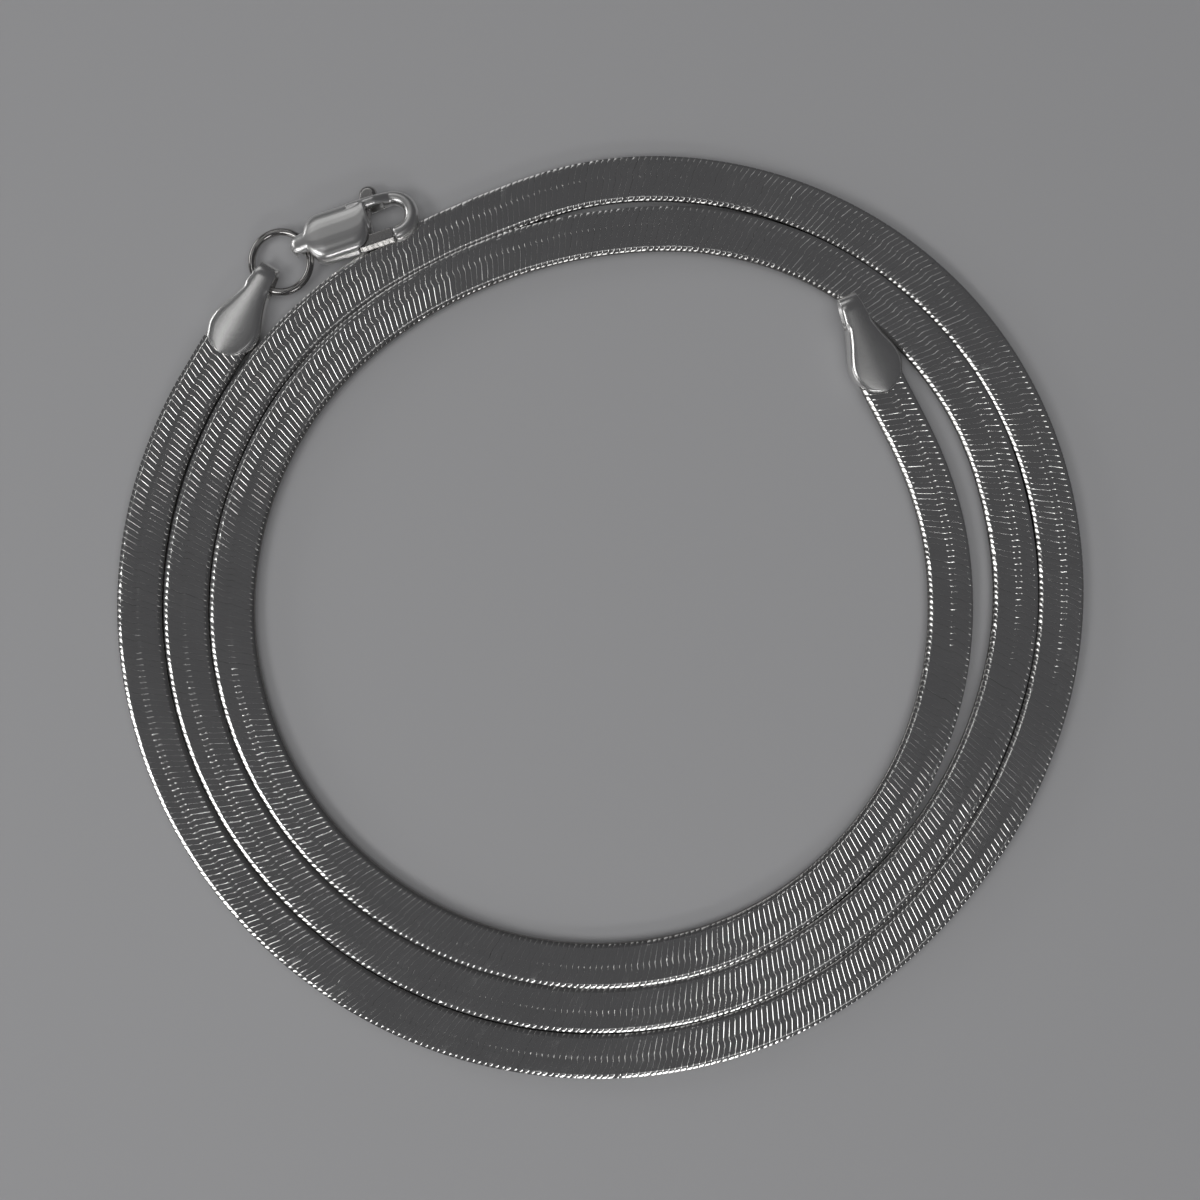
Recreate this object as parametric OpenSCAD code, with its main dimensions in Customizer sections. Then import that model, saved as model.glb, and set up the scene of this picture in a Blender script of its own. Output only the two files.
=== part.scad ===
// Flat herringbone neck chain, unfastened and lying in a loose coil on a surface.
// Millimetres, +Z up, surface at z = 0, origin under the middle of the coil.

/* [Chain band] */
// Width of the woven band
band_w = 3; // [2.4:0.05:3.05]
// Thickness of the woven band
band_t = 0.9; // [0.7:0.05:1.2]
// Radius of the band's four long edges
band_edge_r = 0.4; // [0.1:0.05:0.44]

/* [End caps] */
// Thickness of the sheet that a cap is folded from
cap_wall = 0.25; // [0.15:0.01:0.35]
// Gap between the band and the plates above and below it
cap_gap = 0.05; // [0.03:0.01:0.12]
// Gap between the band's edge and a cap's side wall
cap_side_gap = 0.1; // [0.05:0.01:0.3]
// Length from the middle of a cap's round end to the tip of its loop
cap_reach = 5.2; // [4.6:0.1:7]
// Width of the loop at a cap's tip
cap_tip_w = 1.3; // [1:0.05:1.8]
// Inside length of the loop, along the cap
cap_loop_l = 1.9; // [1.4:0.05:2.2]

/* [Jump ring] */
// Thickness of the ring's wire
ring_wire = 0.53; // [0.4:0.01:0.6]
// Radius of the ring's centre line
ring_r = 2.09; // [1.9:0.01:2.4]

/* [Clasp body] */
// Length from the end of the eye to the end of the hook
clasp_l = 9.25; // [8.8:0.05:11]
// Width of the shell
clasp_w = 3.6; // [3.5:0.05:4.4]
// Thickness of the shell
clasp_t = 1.9; // [1.7:0.05:2.3]
// Length from the end of the eye to the end of the shell, where the hook opens
shell_l = 5.5; // [5.3:0.1:5.8]
// Length from the end of the eye to the shell's shoulders
shoulder_x = 1.2; // [1:0.05:1.4]
// Radius of the shell's two shoulders
shoulder_r = 1.2; // [0.6:0.05:1.5]
// Radius of the shell's corner next to the gate
heel_r = 1.1; // [0.4:0.05:1.2]
// Radius of the shell's long edges
shell_edge_r = 0.7; // [0.3:0.05:0.85]
// Width of the eye that the ring passes through
eye_w = 1.6; // [1.3:0.05:2]
// Height of the hole in the eye
eye_hole_h = 1.02; // [0.9:0.01:1.05]
// Length of the hole in the eye
eye_hole_l = 1.25; // [1.2:0.05:1.35]
// Thickness of the wall at the end of the eye
eye_wall = 0.33; // [0.25:0.01:0.45]
// Width of the hook's arm, seen from above
hook_w = 0.95; // [0.6:0.05:1.1]
// Thickness of the hook's arm
hook_t = 1; // [0.9:0.05:1.4]
// Radius of the window that the hook encloses
window_r = 0.85; // [0.6:0.01:0.9]

/* [Clasp lever] */
// Thickness of the lever
lever_t = 0.8; // [0.6:0.05:1]
// Gap between the lever and the two cheeks of the shell
lever_play = 0.06; // [0.03:0.01:0.12]
// Radius of the lever's barrel
barrel_r = 0.62; // [0.5:0.01:0.65]
// Diameter of the pin
pin_d = 0.5; // [0.4:0.01:0.6]
// Gap round the pin in the lever
pin_play = 0.04; // [0.02:0.01:0.08]
// Depth of the pin's blind hole in each cheek
pin_seat = 0.3; // [0.15:0.01:0.35]
// Distance of the pin from the end of the shell
pin_inset = 0.9; // [0.85:0.01:1]
// Distance of the pin from the clasp's middle line, on the gate's side
pin_side = 0.75; // [0.7:0.01:0.8]
// Radius of the thumb knob
knob_r = 0.66; // [0.5:0.01:0.7]
// Distance of the knob's middle from the start of the hook's bend
knob_back = 1.2; // [1.1:0.05:1.4]
// Distance of the knob's middle from the shell's long edge
knob_rise = 0.25; // [0.1:0.05:0.35]
// Width of the gate that closes the hook
gate_w = 0.8; // [0.5:0.05:0.85]
// Gap between the gate and the tip of the hook
gate_gap = 0.08; // [0.05:0.01:0.15]

/* [Hidden] */
$fn = 48;
eps = 0.01;

// Route of the band's centre line, from the clasp end to the far end:
// angle round the coil in degrees, radius in mm.
ROUTE = [
    [141.25, 32.53], [143.1, 32.37], [147, 32.28], [152, 32.3], [165, 32.25], [180, 32.1],
    [210, 31.5], [240, 30.85], [270, 30.5], [300, 30.5], [320, 30.65], [340, 31.3],
    [360, 32.1], [380, 32.7], [395, 32.85], [410, 32.6], [425, 32], [440, 31.15],
    [450, 30.45], [465, 29.2], [475, 28.86], [485, 28.85], [495, 28.93], [505, 29.05],
    [520, 29], [540, 28.85], [570, 28.3], [600, 27.65], [630, 27.3], [660, 27.35],
    [675, 27.45], [690, 27.8], [705, 28.3], [720, 28.95], [735, 29.35], [750, 29.72],
    [765, 29.58], [780, 29.05], [795, 28.05], [810, 26.9], [825, 26.15], [840, 25.85],
    [870, 25.85], [900, 25.65], [930, 25.1], [960, 24.5], [990, 24.2], [1020, 24.2],
    [1050, 24.25], [1080, 24.45], [1095, 24.75], [1108, 25.05], [1115, 25.3],
    [1120.3, 25.68], [1123.5, 26.17],
];
route_start = ROUTE[0][0];
route_end = ROUTE[len(ROUTE) - 1][0];
ring_step = 4;
ring_count = ceil((route_end - route_start) / ring_step);

// Half the width of a cap along its length: share of cap_reach, share of the round end's radius
// above the tip's half width.
CAP_FLANK = [
    [0, 1], [0.1, 0.95], [0.2, 0.82], [0.38, 0.52],
    [0.57, 0.28], [0.72, 0.15], [0.86, 0.07], [1, 0],
];

// Half the thickness of the clasp along its length: share of clasp_l, share of clasp_t / 2
// above half the hook's thickness.
CLASP_SIDE = [
    [0, -0.5], [0.03, 0.35], [0.08, 0.75], [0.14, 0.9], [0.2, 0.97],
    [0.27, 1], [0.66, 1], [0.74, 0.6], [0.83, 0.02], [0.9, 0],
];

// What a table with rows [place, value] gives at place x, on one smooth curve through its rows.
function span_of(rows, x, j = 0) = j >= len(rows) - 2 || x < rows[j + 1][0] ? j : span_of(rows, x, j + 1);
function slope_at(rows, j) =
    let (a = max(j - 1, 0), b = min(j + 1, len(rows) - 1))
    (rows[b][1] - rows[a][1]) / (rows[b][0] - rows[a][0]);
function along(rows, x) =
    let (j = span_of(rows, x), h = rows[j + 1][0] - rows[j][0], t = (x - rows[j][0]) / h)
    (2 * t ^ 3 - 3 * t ^ 2 + 1) * rows[j][1] + (t ^ 3 - 2 * t ^ 2 + t) * h * slope_at(rows, j)
    + (3 * t ^ 2 - 2 * t ^ 3) * rows[j + 1][1] + (t ^ 3 - t ^ 2) * h * slope_at(rows, j + 1);

// The route and its direction in degrees. The coil is set so that its box is centred on the origin.
coil_at = [-0.03, -0.1];
function route_at(a) = coil_at + along(ROUTE, a) * [cos(a), sin(a)];
function route_turn(a) = let (d = route_at(a + 0.05) - route_at(a - 0.05)) atan2(d[1], d[0]);

// Sizes of a cap that follow the band.
band_lift = cap_wall + cap_gap;
cap_h = band_t + 2 * band_lift;
cap_r = band_w / 2 + cap_side_gap + cap_wall;
cap_in_h = cap_h - 2 * cap_wall;
cap_bend_x = cap_reach - cap_h / 2;
cap_loop_x = cap_reach - cap_wall - cap_loop_l;
band_end_x = 0.25;

// The clasp end's cap lies flat; the far one's loop rests on the next lap, so that it pitches up.
clasp_cap_pitch = 0;
far_cap_pitch = 10;

// Height of the band's underside: level with a cap's room at place x along the cap over grip_l, and
// down on the surface at lift_l from the band's end.
grip_l = 2.1;
lift_l = 8;
function band_floor(pitch, x) = x * tan(pitch) + band_lift / cos(pitch) + cap_r * sin(pitch);
function end_lift(pitch, d) =
    let (
        held = [for (s = [0, 0.57, 1]) [s * grip_l, band_floor(pitch, band_end_x - s * grip_l)]],
        coming_down = [[0.55 * lift_l, 0.3 * band_lift], [lift_l, 0], [2 * lift_l, 0]]
    )
    d >= lift_l ? 0 : along(concat(held, coming_down), d);
function end_distance(a, end) = abs(a - end) > 30 ? lift_l : norm(route_at(a) - route_at(end));
function route_lift(a) =
    end_lift(clasp_cap_pitch, end_distance(a, route_start))
    + end_lift(far_cap_pitch, end_distance(a, route_end));

// The two caps' places: the middle of the round end, and the direction to the loop.
clasp_cap_turn = route_turn(route_start) + 180;
far_cap_turn = route_turn(route_end);
clasp_cap_at = route_at(route_start) - band_end_x * [cos(clasp_cap_turn), sin(clasp_cap_turn)];
far_cap_at = route_at(route_end) - band_end_x * [cos(far_cap_turn), sin(far_cap_turn)];

// The ring lies loose in the cap's loop, and the clasp's eye hangs on the ring. The wire bows towards
// the ring's middle in the eye, so the eye's hole is set in by eye_inset.
ring_slack = 1.5;
ring_side = -0.45;
ring_tilt = 6;
ring_tilt_to = 10;
ring_x = cap_reach - ring_slack + ring_r * cos(asin(ring_side / ring_r));
ring_z = 0.85;
ring_at = clasp_cap_at + ring_x * [cos(clasp_cap_turn), sin(clasp_cap_turn)]
          + ring_side * [-sin(clasp_cap_turn), cos(clasp_cap_turn)];
eye_bearing = 32.5;
clasp_turn = 18.5;
clasp_lean = -13;
eye_x = eye_wall + eye_hole_l / 2;
eye_inset = 0.1;
eye_at = ring_at + (ring_r - eye_inset) * [cos(eye_bearing), sin(eye_bearing)];
wire_z = ring_z + ring_r * sin(ring_tilt) * cos(eye_bearing - ring_tilt_to);
clasp_z = (clasp_w / 2 - shell_edge_r) * sin(-clasp_lean) + (clasp_t / 2 - shell_edge_r) * cos(clasp_lean)
          + shell_edge_r;
eye_drop = clasp_z - wire_z;

// Places on the clasp, from the end of its eye, along and across it.
bend_x = clasp_l - window_r - hook_w;
arm_y = window_r + hook_w / 2;
hook_y = clasp_w / 2 - window_r - hook_w;
slot_h = lever_t + 2 * lever_play;
pin_at = [shell_l - pin_inset, -pin_side];
knob_at = [bend_x - knob_back, clasp_w / 2 + knob_rise];
slot_back = 0.75;
slot_end = 0.35;
slot_x = [pin_at[0] - slot_back, bend_x - slot_end];
hook_tip_l = 0.5;
gate_lap = 0.2;
gate_r = bend_x - hook_tip_l + gate_lap - pin_at[0];

module chain() {
    color("silver") band();
}

// The band's section as points [across, up], its four corners rounded.
corner_steps = 2;
band_section = [
    for (c = [0:3], s = [0:corner_steps])
    let (a = 90 * (c + s / corner_steps), sx = c == 0 || c == 3 ? 1 : -1, sz = c < 2 ? 1 : -1)
    [sx * (band_w / 2 - band_edge_r) + band_edge_r * cos(a),
     band_t / 2 + sz * (band_t / 2 - band_edge_r) + band_edge_r * sin(a)]
];

// The band: its section carried along the route, upright, at right angles to it.
module band() {
    n = len(band_section);
    angles = [for (i = [0:ring_count]) route_start + (route_end - route_start) * i / ring_count];
    points = [
        for (a = angles)
        let (p = route_at(a), turn = route_turn(a), z = route_lift(a))
        for (q = band_section)
        [p[0] + q[0] * sin(turn), p[1] - q[0] * cos(turn), z + q[1]]
    ];
    sides = [
        for (i = [0:ring_count - 1], j = [0:n - 1])
        let (a = i * n + j, b = i * n + (j + 1) % n)
        each [[a, b, a + n], [b, b + n, a + n]]
    ];
    ends = [[for (j = [n - 1:-1:0]) j], [for (j = [0:n - 1]) ring_count * n + j]];
    polyhedron(points, concat(sides, ends), convexity = 10);
}

// Half the width of a cap at x, drawn in by inset.
function cap_half(x, inset = 0) =
    cap_tip_w / 2 - inset + (cap_r - cap_tip_w / 2) * along(CAP_FLANK, x / cap_reach);
function mirrored(points) =
    concat(points, [for (i = [len(points) - 1:-1:0]) [points[i][0], -points[i][1]]]);

// A cap's outline from above: a round end, and two flanks that narrow to the tip.
module cap_outline() {
    steps = 24;
    round_end = [for (i = [0:steps - 1]) cap_r * [-cos(90 * i / steps), sin(90 * i / steps)]];
    flank = [for (i = [0:steps]) [cap_reach * i / steps, cap_half(cap_reach * i / steps)]];
    polygon(mirrored(concat([for (p = round_end) if (p[1] > 0) p], flank)));
}

// The room inside a cap for the band, from above: open at the round end.
module cap_room() {
    steps = 16;
    mouth = [-2 * cap_r, cap_r - cap_wall];
    flank = [for (i = [0:steps]) [cap_loop_x * i / steps, cap_half(cap_loop_x * i / steps, cap_wall)]];
    polygon(mirrored(concat([mouth], flank)));
}

// A long hole or bar with one round end at x1, seen from the side.
module round_ended(x0, x1, h) {
    translate([x0, -h / 2]) square([x1 - x0, h]);
    translate([x1, 0]) circle(d = h);
}

// A cap, its round end's middle over the origin and its loop towards +X.
module cap() {
    across = 4 * cap_r;
    difference() {
        intersection() {
            linear_extrude(cap_h) cap_outline();
            translate([0, 0, cap_h / 2]) rotate([90, 0, 0]) linear_extrude(across, center = true)
                round_ended(-2 * cap_r, cap_bend_x, cap_h);
        }
        translate([0, 0, cap_wall]) linear_extrude(cap_in_h) cap_room();
        // Room for the ring, open on both sides
        translate([0, 0, cap_h / 2]) rotate([90, 0, 0]) linear_extrude(across, center = true)
            round_ended(cap_loop_x - eps, cap_bend_x, cap_in_h);
    }
}

// Sets a cap on the surface, its loop pitched up.
module lay_cap(at, turn, pitch) {
    translate([at[0], at[1], cap_r * sin(pitch)]) rotate([0, -pitch, turn]) children();
}

module end_cap_clasp() {
    color("gainsboro") lay_cap(clasp_cap_at, clasp_cap_turn, clasp_cap_pitch) cap();
}

module end_cap_far() {
    color("gainsboro") lay_cap(far_cap_at, far_cap_turn, far_cap_pitch) cap();
}

module jump_ring() {
    color("silver") translate([ring_at[0], ring_at[1], ring_z]) rotate([0, -ring_tilt, ring_tilt_to])
        rotate_extrude($fn = 72) translate([ring_r, 0]) circle(d = ring_wire, $fn = 24);
}

// Sets the clasp's pieces where it lies: leaning on the band, its eye on the ring.
module lay_clasp() {
    translate([eye_at[0], eye_at[1], clasp_z]) rotate([0, 0, clasp_turn]) rotate([clasp_lean, 0, 0])
        translate([-eye_x, 0, 0]) children();
}

// The shell and the hook's straight arm, from above.
module shell_outline() {
    translate([eye_w / 2, 0]) circle(d = eye_w);
    translate([eye_w / 2, -eye_w / 2]) square([eye_w, eye_w]);
    for (side = [-1, 1])
        translate([shoulder_x + shoulder_r, side * (clasp_w / 2 - shoulder_r)]) circle(shoulder_r);
    translate([shell_l - heel_r, heel_r - clasp_w / 2]) circle(heel_r);
    translate([shoulder_x, shoulder_r - clasp_w / 2])
        square([shell_l - shoulder_x, clasp_w - 2 * shoulder_r]);
    middle_x = shoulder_x + shoulder_r;
    translate([middle_x, -clasp_w / 2]) square([shell_l - heel_r - middle_x, clasp_w]);
    translate([shell_l - heel_r - eps, heel_r - clasp_w / 2]) square([heel_r + eps, clasp_w - heel_r]);
    translate([shell_l - eps, hook_y + window_r]) square([bend_x - shell_l + 2 * eps, hook_w]);
}

// The shell's section across, with rounded long edges.
module shell_section() {
    flat_w = clasp_w - 2 * shell_edge_r;
    flat_t = clasp_t - 2 * shell_edge_r;
    square([flat_w, clasp_t], center = true);
    square([clasp_w, flat_t], center = true);
    for (sx = [-1, 1], sy = [-1, 1]) translate([sx * flat_w / 2, sy * flat_t / 2]) circle(shell_edge_r);
}

// The clasp from the side: thin at the eye, full at the shell, easing down to the hook.
module clasp_profile() {
    steps = 40;
    end = CLASP_SIDE[len(CLASP_SIDE) - 1][0];
    function half(s) = hook_t / 2 + (clasp_t - hook_t) / 2 * along(CLASP_SIDE, s);
    places = [for (i = [0:steps]) let (s = end * i / steps) [clasp_l * s, half(s)]];
    polygon(concat(places, [for (i = [steps:-1:0]) [places[i][0], -places[i][1]]]));
}

// An oval section, wide across and tall, with flat facets.
module oval(w, t) {
    polygon([for (a = [0:22.5:337.5]) [w / 2 * cos(a), t / 2 * sin(a)]]);
}

// The round end of the hook and its tip.
module hook() {
    translate([bend_x, hook_y, 0]) rotate([0, 0, -90])
        rotate_extrude(angle = 180, $fn = 64) translate([arm_y, 0]) oval(hook_w, hook_t);
    difference() {
        translate([bend_x - hook_tip_l, hook_y - arm_y, 0]) rotate([90, 0, 90])
            linear_extrude(hook_tip_l + eps) oval(hook_w, hook_t);
        translate([pin_at[0], pin_at[1], -clasp_t]) cylinder(h = 2 * clasp_t, r = gate_r + gate_gap);
    }
}

// Room for the lever between the two cheeks of the shell.
module lever_slot() {
    translate([0, 0, -slot_h / 2]) linear_extrude(slot_h) {
        translate(pin_at) circle(barrel_r + lever_play);
        translate([slot_x[0], 0]) square([slot_x[1] - slot_x[0], clasp_w]);
        translate([slot_x[0], pin_at[1]]) square([shell_l + 1 - slot_x[0], eps - pin_at[1]]);
        translate([pin_at[0] - lever_play, -clasp_w]) square([shell_l + 0.5 - pin_at[0], clasp_w]);
    }
}

module clasp_body() {
    color("gainsboro") lay_clasp() difference() {
        union() {
            intersection() {
                translate([0, 0, -clasp_t]) linear_extrude(2 * clasp_t) shell_outline();
                rotate([90, 0, 0]) linear_extrude(2 * clasp_w, center = true) clasp_profile();
                rotate([90, 0, 90]) linear_extrude(clasp_l) shell_section();
            }
            hook();
        }
        lever_slot();
        // Hole for the ring, straight across the eye
        translate([eye_wall, -clasp_w, -eye_drop - eye_hole_h / 2])
            cube([eye_hole_l, 2 * clasp_w, eye_hole_h]);
        translate([pin_at[0], pin_at[1], -slot_h / 2 - pin_seat])
            cylinder(h = slot_h + 2 * pin_seat, d = pin_d + 2 * eps);
    }
}

// The lever from above: barrel, thumb arm with its knob, and the gate.
module lever_outline() {
    translate(pin_at) circle(barrel_r);
    translate(knob_at) circle(knob_r);
    arm = knob_at - pin_at;
    arm_w = 1.5 * barrel_r;
    translate(pin_at) rotate(atan2(arm[1], arm[0])) translate([0, -arm_w / 2]) square([norm(arm), arm_w]);
    intersection() {
        translate([pin_at[0], hook_y - arm_y - gate_w / 2]) square([2 * gate_r, gate_w]);
        translate(pin_at) circle(gate_r);
    }
    translate([pin_at[0], pin_at[1] - barrel_r]) square([shell_l - pin_at[0], 2 * barrel_r]);
}

module clasp_lever() {
    color("darkgray") lay_clasp() difference() {
        translate([0, 0, -lever_t / 2]) linear_extrude(lever_t) lever_outline();
        translate([pin_at[0], pin_at[1], -lever_t]) cylinder(h = 2 * lever_t, d = pin_d + 2 * pin_play);
    }
}

module clasp_pin() {
    color("silver") lay_clasp() translate([pin_at[0], pin_at[1], -slot_h / 2 - pin_seat + eps])
        cylinder(h = slot_h + 2 * (pin_seat - eps), d = pin_d);
}

chain();
end_cap_clasp();
end_cap_far();
jump_ring();
clasp_body();
clasp_lever();
clasp_pin();
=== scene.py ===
"""Looks of a flat herringbone neck chain that lies unfastened in a loose coil.

Shapes are worked out in millimetres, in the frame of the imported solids, and turned into metres
when their meshes are made.
"""

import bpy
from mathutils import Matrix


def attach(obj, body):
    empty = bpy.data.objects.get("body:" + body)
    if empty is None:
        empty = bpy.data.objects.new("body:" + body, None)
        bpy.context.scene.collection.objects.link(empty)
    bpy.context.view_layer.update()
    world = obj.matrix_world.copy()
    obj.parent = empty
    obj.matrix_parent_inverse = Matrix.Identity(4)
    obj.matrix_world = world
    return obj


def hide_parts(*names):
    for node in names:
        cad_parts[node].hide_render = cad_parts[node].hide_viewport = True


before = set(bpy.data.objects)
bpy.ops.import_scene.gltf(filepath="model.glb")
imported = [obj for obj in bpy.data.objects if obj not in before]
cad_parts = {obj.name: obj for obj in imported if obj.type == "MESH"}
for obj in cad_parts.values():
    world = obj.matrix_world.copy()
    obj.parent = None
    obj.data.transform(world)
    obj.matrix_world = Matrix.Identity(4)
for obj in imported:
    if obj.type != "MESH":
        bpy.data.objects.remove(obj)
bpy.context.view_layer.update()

import math

import bmesh
import bpy
import numpy as np

MM = 0.001
rng = np.random.default_rng(20)

# Sizes of the band, the end caps, the ring and the clasp, as in the solids
BAND_W, BAND_T = 3.0, 0.9
CAP_WALL, CAP_GAP, CAP_SIDE_GAP = 0.25, 0.05, 0.1
CAP_REACH, CAP_TIP_W, CAP_LOOP = 5.2, 1.3, 1.9
RING_WIRE, RING_R = 0.53, 2.09
CLASP_L, CLASP_W, CLASP_T, SHELL_L = 9.25, 3.6, 1.9, 5.5
EYE_W, EYE_HOLE_H, EYE_HOLE_L, EYE_WALL = 1.6, 1.02, 1.25, 0.33
SHOULDER_X, SHOULDER_R, HEEL_R, SHELL_EDGE_R = 1.2, 1.2, 1.1, 0.7
HOOK_W, HOOK_T, WINDOW_R = 0.95, 1.0, 0.85
LEVER_T, LEVER_PLAY, BARREL_R = 0.8, 0.06, 0.62
KNOB_R, KNOB_BACK, KNOB_RISE, THUMB_W = 0.66, 1.2, 0.25, 0.93
GATE_W, GATE_LAP, HOOK_TIP_L = 0.8, 0.2, 0.5
PIN_INSET, PIN_SIDE, SLOT_BACK, SLOT_END = 0.9, 0.75, 0.75, 0.35

# Route of the band's centre line: angle round the coil in degrees, radius in mm
ROUTE = [
    [141.25, 32.53], [143.1, 32.37], [147, 32.28], [152, 32.3], [165, 32.25], [180, 32.1],
    [210, 31.5], [240, 30.85], [270, 30.5], [300, 30.5], [320, 30.65], [340, 31.3],
    [360, 32.1], [380, 32.7], [395, 32.85], [410, 32.6], [425, 32], [440, 31.15],
    [450, 30.45], [465, 29.2], [475, 28.86], [485, 28.85], [495, 28.93], [505, 29.05],
    [520, 29], [540, 28.85], [570, 28.3], [600, 27.65], [630, 27.3], [660, 27.35],
    [675, 27.45], [690, 27.8], [705, 28.3], [720, 28.95], [735, 29.35], [750, 29.72],
    [765, 29.58], [780, 29.05], [795, 28.05], [810, 26.9], [825, 26.15], [840, 25.85],
    [870, 25.85], [900, 25.65], [930, 25.1], [960, 24.5], [990, 24.2], [1020, 24.2],
    [1050, 24.25], [1080, 24.45], [1095, 24.75], [1108, 25.05], [1115, 25.3],
    [1120.3, 25.68], [1123.5, 26.17],
]
COIL_AT = np.array([-0.03, -0.1])
# A cap's flank from its widest place to its tip: share of the reach, share of the narrowing left
CAP_FLANK = [
    [0, 1], [0.1, 0.95], [0.2, 0.82], [0.38, 0.52], [0.57, 0.28], [0.72, 0.15], [0.86, 0.07], [1, 0],
]


def along(rows, x):
    """Value at x on one smooth curve through rows of (place, value): a cubic between each two rows."""
    place, value = np.array(rows, float).T
    slope = np.gradient(value, place)
    slope[1:-1] = (value[2:] - value[:-2]) / (place[2:] - place[:-2])
    j = np.clip(np.searchsorted(place, x, side="right") - 1, 0, len(place) - 2)
    span = place[j + 1] - place[j]
    t = (x - place[j]) / span
    return (
        (2 * t**3 - 3 * t**2 + 1) * value[j] + (t**3 - 2 * t**2 + t) * span * slope[j]
        + (3 * t**2 - 2 * t**3) * value[j + 1] + (t**3 - t**2) * span * slope[j + 1]
    )


def flat_direction(degrees):
    """Unit vector in the plane at that angle."""
    return np.array([math.cos(math.radians(degrees)), math.sin(math.radians(degrees))])


def route_at(angle):
    """Points of the centre line at angles round the coil, in degrees."""
    a = np.radians(angle)
    return COIL_AT + along(ROUTE, angle)[..., None] * np.stack([np.cos(a), np.sin(a)], -1)


def route_turn(angle):
    """Direction of the centre line at one angle, in degrees."""
    d = route_at(np.array([angle + 0.05]))[0] - route_at(np.array([angle - 0.05]))[0]
    return math.degrees(math.atan2(d[1], d[0]))


# Places of the two caps, which hold the band's ends
BAND_LIFT = CAP_WALL + CAP_GAP
CAP_H = BAND_T + 2 * BAND_LIFT
CAP_R = BAND_W / 2 + CAP_SIDE_GAP + CAP_WALL
BAND_END_X = 0.25
CLASP_CAP_PITCH, FAR_CAP_PITCH = 0.0, 10.0
ROUTE_START, ROUTE_END = ROUTE[0][0], ROUTE[-1][0]
END_POINTS = route_at(np.array([ROUTE_START, ROUTE_END]))
CLASP_CAP_TURN = route_turn(ROUTE_START) + 180
FAR_CAP_TURN = route_turn(ROUTE_END)
CLASP_CAP_AT = END_POINTS[0] - BAND_END_X * flat_direction(CLASP_CAP_TURN)
FAR_CAP_AT = END_POINTS[1] - BAND_END_X * flat_direction(FAR_CAP_TURN)

# Places of the ring and the clasp, which hang on the clasp end's cap: angles are in degrees
RING_SLACK, RING_SIDE, RING_TILT, RING_TILT_TO, RING_Z = 1.5, -0.45, 6.0, 10.0, 0.85
RING_REACH = CAP_REACH - RING_SLACK + math.sqrt(RING_R**2 - RING_SIDE**2)
RING_AT = (
    CLASP_CAP_AT + RING_REACH * flat_direction(CLASP_CAP_TURN)
    + RING_SIDE * flat_direction(CLASP_CAP_TURN + 90)
)
EYE_BEARING, EYE_INSET, CLASP_TURN, CLASP_LEAN = 32.5, 0.1, 18.5, -13.0
EYE_X = EYE_WALL + EYE_HOLE_L / 2
EYE_AT = RING_AT + (RING_R - EYE_INSET) * flat_direction(EYE_BEARING)
CLASP_Z = (
    (CLASP_W / 2 - SHELL_EDGE_R) * math.sin(math.radians(-CLASP_LEAN))
    + (CLASP_T / 2 - SHELL_EDGE_R) * math.cos(math.radians(CLASP_LEAN)) + SHELL_EDGE_R
)
WIRE_Z = RING_Z + RING_R * math.sin(math.radians(RING_TILT)) * math.cos(
    math.radians(EYE_BEARING - RING_TILT_TO))
EYE_DROP = CLASP_Z - WIRE_Z


# Ways to make and place meshes
def turned(x_turn, y_turn, z_turn):
    """Matrix that turns about X, then Y, then Z, by degrees."""
    cx, cy, cz = np.cos(np.radians([x_turn, y_turn, z_turn]))
    sx, sy, sz = np.sin(np.radians([x_turn, y_turn, z_turn]))
    about_x = np.array([[1, 0, 0], [0, cx, -sx], [0, sx, cx]])
    about_y = np.array([[cy, 0, sy], [0, 1, 0], [-sy, 0, cy]])
    about_z = np.array([[cz, -sz, 0], [sz, cz, 0], [0, 0, 1]])
    return about_z @ about_y @ about_x


def grid_quads(rows, columns, close_rows=False, close_columns=False):
    """Quads between neighbours in a grid of points, as places in the flattened grid."""
    r = np.arange(rows if close_rows else rows - 1)[:, None]
    c = np.arange(columns if close_columns else columns - 1)[None, :]
    r_next, c_next = (r + 1) % rows * columns, (c + 1) % columns
    corners = (r * columns + c, r_next + c, r_next + c_next, r * columns + c_next)
    return np.stack(np.broadcast_arrays(*corners), -1).reshape(-1, 4)


def tube(points):
    """Quads and two end faces of a closed profile carried along a path: rows of points are profiles."""
    rows, columns = points.shape[:2]
    faces = grid_quads(rows, columns, close_columns=True).tolist()
    first = list(range(columns - 1, -1, -1))
    last = list(range((rows - 1) * columns, rows * columns))
    return points.reshape(-1, 3), faces + [first, last]


def new_object(name, points, faces, material=None):
    """An object with a smooth-shaded mesh of these points and faces."""
    mesh = bpy.data.meshes.new(name)
    mesh.from_pydata(np.asarray(points, float).tolist(), [], [list(f) for f in faces])
    mesh.polygons.foreach_set("use_smooth", np.ones(len(mesh.polygons), bool))
    if material:
        mesh.materials.append(material)
    obj = bpy.data.objects.new(name, mesh)
    bpy.context.scene.collection.objects.link(obj)
    return obj


def tidied(obj, merge=0.0):
    """The object with near points merged and its faces turned outwards."""
    mesh = bmesh.new()
    mesh.from_mesh(obj.data)
    if merge:
        bmesh.ops.remove_doubles(mesh, verts=mesh.verts, dist=merge)
    bmesh.ops.recalc_face_normals(mesh, faces=mesh.faces)
    mesh.to_mesh(obj.data)
    mesh.free()
    return obj


def modified(obj, *steps):
    """The object with modifiers put on it: each step is a modifier's type and its settings."""
    for kind, settings in steps:
        modifier = obj.modifiers.new(kind.title(), kind)
        for key, value in settings.items():
            setattr(modifier, key, value)
    return obj


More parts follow.
